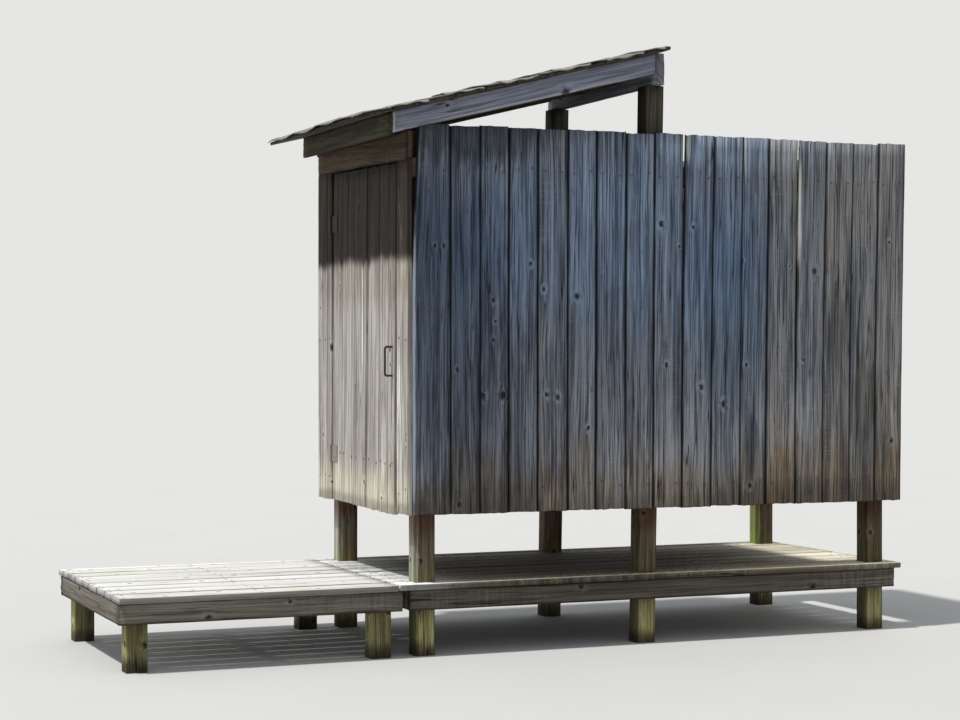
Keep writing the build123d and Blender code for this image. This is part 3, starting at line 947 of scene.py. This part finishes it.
# The front wall's joints at the boards' lower ends, measured from the corner, and how far each
# board's top leans to the right. Eight joints have opened.
front_joints = (
    0.0,
    0.165,
    0.303,
    0.437,
    0.575,
    0.718,
    0.855,
    0.999,
    1.139,
    1.284,
    1.430,
    1.580,
    1.716,
    1.870,
    2.014,
    2.159,
    2.298,
    2.445,
)
front_leans_mm = (0, 0, 1, 3, 4, 6, 7, 9, 10, 20, 20, 19, 19, 27, 27, 26, 26)
open_joints = (3, 4, 5, 6, 8, 9, 12, 13)
open_gap = 0.0050
closed_gap = 0.0020

# Each front board's warmth and lightness, from none to one.
front_tones = (
    (0.3, 0.50),
    (0.1, 0.40),
    (0.2, 0.55),
    (0.1, 0.50),
    (0.5, 0.66),
    (0.2, 0.55),
    (0.3, 0.50),
    (0.2, 0.60),
    (0.4, 0.55),
    (0.3, 0.60),
    (0.1, 0.40),
    (0.2, 0.45),
    (0.65, 0.52),
    (0.4, 0.60),
    (0.5, 0.40),
    (0.4, 0.45),
    (0.6, 0.55),
)

# Knots that show on the front wall: board number from the left, height above the boards'
# lower ends, place across the board from its middle, and radius.
front_knots = (
    (1, 1.15, 0.053, 0.007),
    (1, 1.15, 0.012, 0.006),
    (2, 0.62, -0.040, 0.007),
    (2, 0.04, -0.031, 0.008),
    (3, 0.92, -0.006, 0.009),
    (3, 0.83, 0.004, 0.006),
    (3, 0.75, -0.006, 0.008),
    (3, 0.51, -0.053, 0.011),
    (3, 0.51, 0.041, 0.016),
    (4, 1.08, 0.035, 0.008),
    (5, 0.97, -0.044, 0.008),
    (5, 0.51, -0.030, 0.009),
    (5, 0.50, 0.023, 0.010),
    (6, 0.94, -0.025, 0.013),
    (6, 0.36, 0.031, 0.009),
    (9, 1.27, -0.037, 0.013),
    (9, 1.17, 0.055, 0.006),
    (9, 0.64, -0.007, 0.009),
    (10, 1.26, -0.027, 0.008),
    (10, 0.54, 0.023, 0.010),
    (11, 0.46, -0.011, 0.012),
    (12, 1.11, -0.068, 0.010),
    (12, 0.64, -0.037, 0.008),
    (12, 0.09, -0.016, 0.010),
    (13, 1.09, 0.041, 0.005),
    (14, 1.07, 0.018, 0.013),
    (14, 0.66, -0.034, 0.006),
    (17, 0.28, 0.017, 0.010),
    (17, 1.21, -0.009, 0.006),
)


def first_board_left(part):
    """The first board's left side closes on the corner below and leaves a widening gap near its top."""
    return -0.009 + 0.026 * np.clip((part - 0.6) / 0.4, 0, 1)


def build_front_wall():
    """The seventeen front boards at their measured joints, with their known knots, tones and leans."""
    low, high = corner_box("front_wall")
    rail_low, rail_high = corner_box("front_rails")
    levels = (rail_low[2] + stock_width / 2 - low[2], rail_high[2] - stock_width / 2 - low[2])
    rake_low, _ = corner_box("rake_front")

    def cut_under_rake(place):
        limit = rake_low[2] + rafter_slope * (place[..., 0] - rake_low[0])
        limit = np.where(place[..., 0] > low[0] + 0.3, high[2] + 0.02, limit)
        place[..., 2] = np.minimum(place[..., 2], limit)
        return place

    stack = Timber(11)
    for number, tone in enumerate(front_tones, 1):
        left, right = front_joints[number - 1 : number + 1]
        gap = open_gap if number in open_joints else closed_gap
        width = right - left - gap
        shape = {"knots": [(a, s, r) for n, s, a, r in front_knots if n == number]}
        if number == 1:
            shape["sides"] = (first_board_left, lambda part: -0.003 * part)
        stack.board(
            (low[0] + left + width / 2, (low[1] + high[1]) / 2, low[2] - stack.chance.uniform(0, 0.004)),
            Z,
            Y,
            high[2] - low[2] + stack.chance.uniform(-0.003, 0.008),
            width,
            board_thickness,
            lean=front_leans_mm[number - 1] / 1000,
            nails=nail_rows(width, levels, stack.chance),
            proud=stack.chance.normal(0, 0.0012),
            tone=tone,
            bend=cut_under_rake,
            warp=0.7,
            **shape,
        )
    stack.finish("front_wall_boards", "wall", "frame", ["front_wall"], "wall_boards")


def plain_wall(node, seed, material, origin, direction, through, run, levels, **options):
    """Boards side by side along a wall, the last one ripped to what is left. The option knots gives
    the known knots of a board by its number."""
    low, high = corner_box(node)
    known = options.get("knots", {})
    stack = Timber(seed)
    place = 0.0
    number = 0
    while run - place > 0.012:
        number += 1
        width = min(board_width, run - place - 0.001)
        length = high[2] - low[2] + options.get("more", 0.0)
        stack.board(
            origin + direction * (place + width / 2) - Z * stack.chance.uniform(0, 0.004),
            Z,
            through,
            length + stack.chance.uniform(-0.004, 0.006),
            width,
            board_thickness,
            knots=known.get(number) or scatter_knots(stack.chance, length, width, 2, (0.004, 0.010)),
            nails=nail_rows(width, levels, stack.chance),
            proud=stack.chance.normal(0, 0.0012),
            lean=stack.chance.normal(0, 0.0008),
            tone=(stack.chance.uniform(0.1, 0.6), stack.chance.uniform(0.3, 0.6)),
        )
        place += width + open_gap / 2
    stack.finish(node + "_boards", material, "frame", [node], "wall_boards")


def build_other_walls():
    """Rear and right walls, and the fixed strips of the left end."""
    low, high = corner_box("rear_wall")
    levels = (0.10, 1.48)
    start = np.array([high[0], (low[1] + high[1]) / 2, low[2]])
    plain_wall("rear_wall", 12, "wall", start, -X, -Y, high[0] - low[0], levels)
    low, high = corner_box("right_wall")
    start = np.array([(low[0] + high[0]) / 2, low[1], low[2]])
    plain_wall("right_wall", 13, "wall", start, Y, -X, high[1] - low[1], levels)
    strip_knots = {
        "left_strip_front": {1: ((0.045, 0.345, 0.006), (0.045, 0.290, 0.005))},
        "left_strip_rear": {2: ((0.020, 0.712, 0.014), (0.020, 0.079, 0.006))},
    }
    for node, seed, more in (("left_strip_front", 14, -0.012), ("left_strip_rear", 15, 0.0)):
        low, high = corner_box(node)
        start = np.array([(low[0] + high[0]) / 2, high[1], low[2]])
        levels = (0.10, 0.75, high[2] - low[2] - 0.12)
        run = high[1] - low[1]
        plain_wall(node, seed, "end_wall", start, -Y, X, run, levels, knots=strip_knots[node], more=more)


def build_header():
    """The header over the door, and the thin brown board over it whose lower edge wanders."""
    low, high = corner_box("door_header")
    middle = (low + high) / 2
    length = high[1] - low[1]
    depth = high[2] - low[2]
    stack = Timber(16)

    def lower_edge(part):
        return 0.015 * (1 - part) + 0.0015 * np.sin(part * 23.0) - 0.002

    stack.board(
        (middle[0], low[1], middle[2]),
        Y,
        X,
        length,
        depth,
        high[0] - low[0],
        across=-Z,
        sides=(lambda part: 0.0 * part, lower_edge),
        knots=((0.01, 0.33, 0.012), (-0.02, 0.80, 0.010)),
        nails=nail_rows(depth, (0.07, 1.14), stack.chance),
        spacing=0.03,
    )
    stack.finish("door_header_board", "header", "frame", ["door_header"], "wall_boards")

    cover = Timber(17)

    def cover_lower_edge(part):
        from_front = part * length
        fall = np.interp(from_front, (0.0, 0.16, 0.365, 0.60, 1.0, length), (0.018, 0.017, 0.006, -0.03, -0.076, -0.09))
        return fall + 0.003 * np.sin(from_front * 31.0)

    cover.board(
        (low[0] - 0.0045, low[1] + 0.004, middle[2]),
        Y,
        X,
        length - 0.006,
        depth,
        0.008,
        across=-Z,
        sides=(lambda part: 0.0 * part, cover_lower_edge),
        knots=((0.02, 0.20, 0.009),),
        spacing=0.02,
        warp=0.4,
        arris=0.001,
    )
    cover.finish("door_header_cover", "cover", "frame", [], "wall_boards")


# Posts, rails and other square timbers


def straight_timber(stack, low, high, **options):
    """A timber that fills a box, with its grain along the box's longest side."""
    size = high - low
    order = np.argsort(size)
    along = np.eye(3)[order[2]]
    stack.board(
        (low + high) / 2 - along * size[order[2]] / 2,
        along,
        np.eye(3)[order[0]],
        size[order[2]],
        size[order[1]],
        size[order[0]],
        across=np.eye(3)[order[1]],
        **options,
    )


def node_timbers(node, seed, material, slot, boxes=None, **options):
    """One object of straight timbers in a node's place, or in the given boxes of it."""
    stack = Timber(seed)
    for low, high in boxes or [corner_box(node)]:
        knots = scatter_knots(stack.chance, float(np.max(high - low)), 0.08, 2)
        straight_timber(stack, low, high, knots=knots, **options)
    stack.finish(node + "_timber", material, "frame", [node], slot)


def split_box(node, axis, count, size):
    """Boxes of equal size spread from one end of a node to the other along an axis."""
    low, high = corner_box(node)
    boxes = []
    for number in range(count):
        part_low, part_high = low.copy(), high.copy()
        part_low[axis] = low[axis] + (high[axis] - low[axis] - size) * number / (count - 1)
        part_high[axis] = part_low[axis] + size
        boxes.append((part_low, part_high))
    return boxes


def leaning_post(node, seed):
    """A middle post, whose top stands to the right of its foot."""
    low, high = corner_box(node)
    height = high[2] - low[2]
    slope = (high[0] - low[0] - stock_width) / height
    stack = Timber(seed)
    stack.board(
        (low[0] + stock_width / 2, (low[1] + high[1]) / 2, low[2]),
        (slope, 0.0, 1.0),
        Y,
        height,
        stock_width,
        stock_width,
        across=X,
        knots=scatter_knots(stack.chance, height, 0.08, 3),
        **post_shape,
    )
    stack.finish(node + "_timber", "post", "frame", [node], "posts")


post_shape = {"arris": 0.005, "spacing": 0.08, "warp": 0.4, "columns": 5, "ragged": 0.0}


def build_frame():
    """Posts, rails, jambs and the deck's rims and joists."""
    for seed, node in enumerate(sorted(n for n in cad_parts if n.startswith("post_")), 20):
        if node.endswith("mid"):
            leaning_post(node, seed)
        else:
            node_timbers(node, seed, "post", "posts", **post_shape)
    for seed, node in enumerate(("front_rails", "rear_rails", "right_rails"), 30):
        boxes = split_box(node, 2, 2, stock_width)
        node_timbers(node, seed, "frame", "framing", boxes=boxes, arris=0.003, warp=0.3)
    for seed, node in enumerate(("left_header_rail", "latch_jamb", "hinge_jamb", "door_stop"), 34):
        node_timbers(node, seed, "frame", "framing", arris=0.003, warp=0.1)
    rim = {"arris": 0.003, "warp": 0.4}
    thickness = frame_thickness("deck_rim_front")
    for seed, node in enumerate(("deck_rim_front", "deck_rim_rear"), 40):
        node_timbers(node, seed, "rim", "deck_framing", **rim)
    for seed, node, axis, count in (
        (42, "deck_side_rims", 0, 2),
        (43, "landing_rims", 1, 2),
        (44, "landing_joists", 0, 3),
    ):
        boxes = split_box(node, axis, count, thickness)
        node_timbers(node, seed, "rim", "deck_framing", boxes=boxes, **rim)
    joists = split_box("deck_joists", 0, 2, thickness)
    low, high = joists[0]
    shift = X * (mid_post_face(high[2]) - low[0])
    joists.append((low + shift, high + shift))
    node_timbers("deck_joists", 45, "rim", "deck_framing", boxes=joists, **rim)
    low, high = corner_box("landing_feet")
    corners = [(x, y) for x in (low[0], high[0] - stock_width) for y in (low[1], high[1] - stock_width)]
    feet = [(np.array([x, y, low[2]]), np.array([x + stock_width, y + stock_width, high[2]])) for x, y in corners]
    node_timbers("landing_feet", 46, "post", "deck_framing", boxes=feet, **post_shape)


def frame_thickness(node):
    """The smaller side of a rim's section."""
    low, high = corner_box(node)
    return float(min(high - low))


def mid_post_face(level):
    """Where the right face of the front middle post stands at a height."""
    low, high = corner_box("post_front_mid")
    slope = (high[0] - low[0] - stock_width) / (high[2] - low[2])
    return low[0] + stock_width + slope * (level - low[2])


def sloping_timber(node, seed, material, cut=0.0, **options):
    """A rafter: its length runs uphill and its ends are cut plumb, the upper one short by the cut."""
    low, high = corner_box(node)
    run = high[0] - low[0]
    depth = high[2] - low[2] - rafter_slope * run
    stack = Timber(seed)
    stack.board(
        (low[0], (low[1] + high[1]) / 2, low[2] + depth / 2),
        uphill,
        Y,
        run - cut,
        depth,
        high[1] - low[1],
        across=-Z,
        arris=0.003,
        warp=0.4,
        **options,
    )
    stack.finish(node + "_timber", material, "frame", [node], "roof_timber")


def build_roof():
    """Rakes, rafters, fascia, beam and roof boards."""
    knots = ((0.034, 0.81, 0.016), (-0.02, 0.25, 0.008))
    sloping_timber("rake_front", 50, "rake", cut=0.007, knots=knots, tone=(0.2, 0.5))
    sloping_timber("rake_rear", 51, "rake", knots=((-0.01, 0.42, 0.012),))
    for seed, node in enumerate(("rafter_1", "rafter_2"), 52):
        sloping_timber(node, seed, "frame", knots=((0.01, 0.6, 0.01),))
    node_timbers("eave_fascia", 54, "fascia", "roof_timber", warp=0.8)
    node_timbers("high_beam", 55, "rake", "roof_timber", warp=0.6)

    low, high = corner_box("sheathing")
    run = high[0] - low[0]
    thickness = high[2] - low[2] - rafter_slope * run
    stack = Timber(56)
    place = 0.0
    while run - place > 0.02:
        width = min(board_width, run - place)
        middle = place + width / 2
        stack.board(
            (low[0] + middle, low[1], low[2] + thickness / 2 + rafter_slope * middle),
            Y,
            -Z,
            high[1] - low[1] - stack.chance.uniform(0, 0.004),
            width,
            thickness,
            across=-uphill,
            knots=scatter_knots(stack.chance, 1.3, width, 2),
            warp=0.5,
        )
        place += width + open_gap / 2
    stack.finish("roof_boards", "sheathing", "frame", ["sheathing"], "roof_timber")


def build_shingles():
    """Courses of shingle tabs from the eave up, each a thin slab that rests on the course below. Past
    the roof boards' edge the tabs droop, by a parabola of the overhang with waves along the slope."""
    low, high = corner_box("roofing")
    sheathing_low, sheathing_high = corner_box("sheathing")
    run = high[0] - low[0]
    thickness = high[2] - low[2] - rafter_slope * run
    stack = Timber(57)
    chance = stack.chance
    overhang = 0.008

    def droop(place):
        x, y = place[..., 0], place[..., 1]
        past = np.maximum(sheathing_low[1] + 0.006 - y, y - sheathing_high[1] + 0.006)
        wave = 0.7 + 0.25 * np.sin(x * 21.0) + 0.25 * np.sin(x * 67.0 + 1.0)
        place[..., 2] -= wave * 0.010 * np.clip(past / 0.024, 0, 1.2) ** 1.5
        past_eave = sheathing_low[0] + 0.004 - x
        place[..., 2] -= 0.010 * np.clip(past_eave / 0.014, 0, 1.2) ** 1.5 * (0.8 + 0.4 * np.sin(y * 19.0))
        return place

    course = 0
    place = 0.0
    while run - place > 0.03:
        length = min(shingle_exposure + shingle_lap, run - place)
        y = low[1] - (tab_width * 0.5 if course % 2 else 0.0)
        while y < high[1]:
            tab_low = max(y + 0.003, low[1] - overhang - chance.uniform(0, 0.006))
            tab_high = min(y + tab_width - 0.003, high[1] - chance.uniform(0, 0.010))
            y += tab_width
            if tab_high - tab_low < 0.03:
                continue
            torn = tab_low < low[1] and run - place < 0.14
            start = np.array([low[0] + place, (tab_low + tab_high) / 2, low[2] + thickness * 0.35])
            start = start + uphill * chance.uniform(-0.004, 0.004) + Z * rafter_slope * place
            stack.board(
                start,
                uphill,
                -Z,
                length - (0.034 if torn else 0.0),
                tab_high - tab_low,
                shingle_thickness,
                across=Y,
                columns=max(8, int((tab_high - tab_low) / 0.011)),
                spacing=0.015,
                arris=0.0012,
                warp=0.8,
                ragged=0.0022,
                tilt=shingle_thickness * 0.9,
                curl=chance.uniform(0.0, 0.007),
                bend=droop,
            )
        place += shingle_exposure
        course += 1
    stack.finish("roof_shingles", "shingle", "frame", ["roofing"], "roofing")


# Deck and landing


def build_decks():
    """Deck boards along the front, full widths from the front and a ripped one at the back."""
    for node, seed, material, joist_nodes in (
        ("deck_boards", 60, "stall_deck", ("deck_side_rims", "deck_joists")),
        ("landing_boards", 61, "deck", ("landing_joists",)),
    ):
        low, high = corner_box(node)
        stack = Timber(seed)
        chance = stack.chance
        half = frame_thickness("deck_rim_front") / 2
        levels = [(high[0] - low[0]) * 0.5]
        for joists in joist_nodes:
            joist_low, joist_high = corner_box(joists)
            levels += [joist_low[0] + half - low[0], joist_high[0] - half - low[0]]
        place = 0.0
        while high[1] - low[1] - place > 0.015:
            width = min(deck_board_width, high[1] - low[1] - place)
            start = np.array([low[0], low[1] + place + width / 2, (low[2] + high[2]) / 2])
            stack.board(
                start + X * chance.uniform(0, 0.004) - Z * chance.uniform(0, 0.0015),
                X,
                -Z,
                high[0] - low[0] - chance.uniform(0.004, 0.008),
                width,
                high[2] - low[2] - 0.001,
                knots=scatter_knots(chance, high[0] - low[0], width, 4),
                nails=nail_rows(width, sorted(levels), chance),
                arris=0.003,
                warp=0.5,
                ragged=0.001,
            )
            place += deck_pitch
        stack.finish(node + "_planks", material, "frame", [node], "deck_boards")


# Door

# The door boards' joints from the hinge side at their lower ends.
door_joints = (0.0, 0.139, 0.308, 0.471, 0.628, 0.745, 0.829)
door_knots = {
    1: ((0.020, 1.00, 0.006),),
    3: ((-0.026, 1.35, 0.012), (0.065, 0.115, 0.009)),
    5: ((-0.019, 0.06, 0.007),),
    6: ((-0.022, 0.715, 0.010), (-0.012, 0.650, 0.008)),
}


def build_door():
    """Six boards on two ledges and a brace, all leaned as the door has dropped."""
    low, high = corner_box("door_leaf")
    cosine, sine = math.cos(door_lean), math.sin(door_lean)
    wide = high[1] - low[1]
    tall = high[2] - low[2]
    height = (cosine * tall - sine * wide) / (cosine**2 - sine**2)
    width = (cosine * wide - sine * tall) / (cosine**2 - sine**2)
    up = np.array([0.0, -sine, cosine])
    forward = np.array([0.0, -cosine, -sine])
    corner = np.array([(low[0] + high[0]) / 2, high[1], low[2] + width * sine])
    stretch = width / door_joints[-1]
    stack = Timber(70)
    for number in range(1, len(door_joints)):
        first = door_joints[number - 1] * stretch
        last = door_joints[number] * stretch - closed_gap * (number < len(door_joints) - 1)
        stack.board(
            corner + forward * (first + last) / 2,
            up,
            X,
            height - stack.chance.uniform(0, 0.003),
            last - first,
            high[0] - low[0],
            knots=door_knots.get(number, ()),
            nails=nail_rows(last - first, (0.215, height - 0.235), stack.chance),
            proud=0.004 if number == 3 else stack.chance.normal(0, 0.001),
            tone=(stack.chance.uniform(0.1, 0.5), stack.chance.uniform(0.35, 0.65)),
            warp=0.7,
        )
    stack.finish("door_leaf_boards", "end_wall", "door", ["door_leaf"], "door_boards")
    ledges = []
    for seed, node in enumerate(("door_ledge_low", "door_ledge_high"), 71):
        low, high = corner_box(node)
        run = (high[1] - low[1] - stock_width * sine) / cosine
        corner = np.array([(low[0] + high[0]) / 2, high[1], low[2] + run * sine])
        stack = Timber(seed)
        stack.board(
            corner + up * stock_width / 2,
            forward,
            X,
            run,
            stock_width,
            high[0] - low[0],
            across=up,
            knots=scatter_knots(stack.chance, run, 0.08, 2),
            warp=0.3,
        )
        stack.finish(node + "_timber", "frame", "door", [node], "door_boards")
        ledges.append((corner, run))
    brace_between(ledges, up, forward)


def brace_between(ledges, up, forward):
    """The brace from the low ledge's hinge end to the high ledge's free end, cut along both."""
    (low_corner, _), (high_corner, run) = ledges
    low, high = corner_box("door_brace")
    start = low_corner + up * stock_width + forward * stock_width / 2
    end = high_corner + forward * (run - stock_width / 2)
    along = end - start
    length = float(np.linalg.norm(along))
    stack = Timber(73)
    stack.board(
        start,
        along / length,
        X,
        length,
        stock_width,
        high[0] - low[0],
        across=forward,
        knots=((0.01, 0.5, 0.009),),
        warp=0.3,
        ragged=0.0,
    )
    stack.finish("door_brace_timber", "frame", "door", ["door_brace"], "door_boards")


# Nails, hinges and pull


def nail_heads(name, places, body):
    """Flat domed heads: three rings of eight points round each nail's place, raised towards the middle."""
    centres = np.array([place for place, _ in places])
    normals = np.array([normal for _, normal in places])
    normals = normals / np.linalg.norm(normals, axis=1, keepdims=True)
    helper = np.where(np.abs(normals[:, 2:3]) > 0.9, X, Z)
    first = np.cross(normals, helper)
    first = first / np.linalg.norm(first, axis=1, keepdims=True)
    second = np.cross(normals, first)
    angles = np.arange(8) * math.pi / 4
    turn = np.cos(angles)[None, :, None] * first[:, None] + np.sin(angles)[None, :, None] * second[:, None]
    rings = [
        centres[:, None] + turn * nail_radius * radius + normals[:, None] * lift
        for radius, lift in ((1.0, -0.0006), (0.95, 0.0006), (0.45, 0.0010))
    ]
    points = np.concatenate(rings, axis=1)
    steps = np.arange(8)
    following = (steps + 1) % 8
    ring_faces = [
        np.stack([steps + 8 * ring, following + 8 * ring, following + 8 * ring + 8, steps + 8 * ring + 8], -1)
        for ring in range(2)
    ]
    top = np.array([[16, 17, 18, 19], [16, 19, 20, 23], [20, 21, 22, 23]])
    faces = np.vstack(ring_faces + [top])
    all_faces = (faces[None] + np.arange(len(centres))[:, None, None] * 24).reshape(-1, 4)
    piece = mesh_object(name, points.reshape(-1, 3), all_faces, materials["rust"])
    register(piece, body, [])


def build_hardware():
    """Nail heads, and the finishes on hinges and pull: dull galvanised steel on the hinges, rusted steel on the pull.
    """
    nail_heads("frame_nail_heads", all_nails["frame"], "frame")
    nail_heads("door_nail_heads", all_nails["door"], "door")
    for node, finish in (
        ("frame_hinge_halves", "galvanised"),
        ("door_hinge_halves", "galvanised"),
        ("door_pull", "rust"),
    ):
        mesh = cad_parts[node].data
        mesh.materials.clear()
        mesh.materials.append(materials[finish])


# Floor, light and camera


def build_stage():
    """A pale floor, a plain pale world, one soft lamp from high on the left, and the camera."""
    material, w, surface = new_material("pale_floor")
    point = w.add("ShaderNodeTexCoord").outputs["Object"]
    tone = w.noise(point, 1.5, detail=2.0)
    w.feed(surface.inputs["Base Color"], w.mix(tone, shade(188, 188, 187), shade(193, 193, 192)))
    surface.inputs["Roughness"].default_value = 0.9
    half = 60.0
    corners = np.array([[-half, -half, 0.0], [half, -half, 0.0], [half, half, 0.0], [-half, half, 0.0]])
    floor = mesh_object("floor", corners, np.array([[0, 1, 2, 3]]), material)

    world = bpy.data.worlds.new("plain_world")
    bpy.context.scene.world = world
    world.use_nodes = True
    world.node_tree.nodes.clear()
    w = Wires(world.node_tree)
    path = w.add("ShaderNodeLightPath").outputs
    seen = w.greater(path["Is Camera Ray"], path["Is Glossy Ray"])
    light = w.add("ShaderNodeBackground", {"Color": (0.91, 0.955, 1.0, 1.0), "Strength": sky_strength})
    backdrop = w.add("ShaderNodeBackground", {"Color": shade(230, 230, 228), "Strength": 1.0})
    both = w.add("ShaderNodeMixShader", {0: seen, 1: light.outputs[0], 2: backdrop.outputs[0]})
    output = w.add("ShaderNodeOutputWorld")
    w.feed(output.inputs["Surface"], both.outputs[0])

    key = bpy.data.lights.new("key", "SUN")
    key.energy = lamp_strength
    key.angle = math.radians(lamp_angle_degrees)
    key.color = (1.0, 0.975, 0.93)
    key_object = bpy.data.objects.new("key", key)
    key_object.rotation_mode = "QUATERNION"
    key_object.rotation_quaternion = Vector(towards_lamp).to_track_quat("Z", "Y")
    bpy.context.scene.collection.objects.link(key_object)

    camera = bpy.data.cameras.new("camera")
    camera.sensor_width = sensor_width
    camera.lens = camera_lens
    camera.clip_end = 200.0
    camera_object = bpy.data.objects.new("camera", camera)
    camera_object.location = camera_place
    turn = (math.radians(90 + camera_pitch_degrees), 0.0, -math.radians(camera_yaw_degrees))
    camera_object.rotation_euler = turn
    bpy.context.scene.collection.objects.link(camera_object)
    bpy.context.scene.camera = camera_object
    bpy.context.scene.view_settings.view_transform = "Standard"


build_front_wall()
build_other_walls()
build_header()
build_frame()
build_roof()
build_shingles()
build_decks()
build_door()
build_hardware()
build_stage()

bpy.context.view_layer.update()
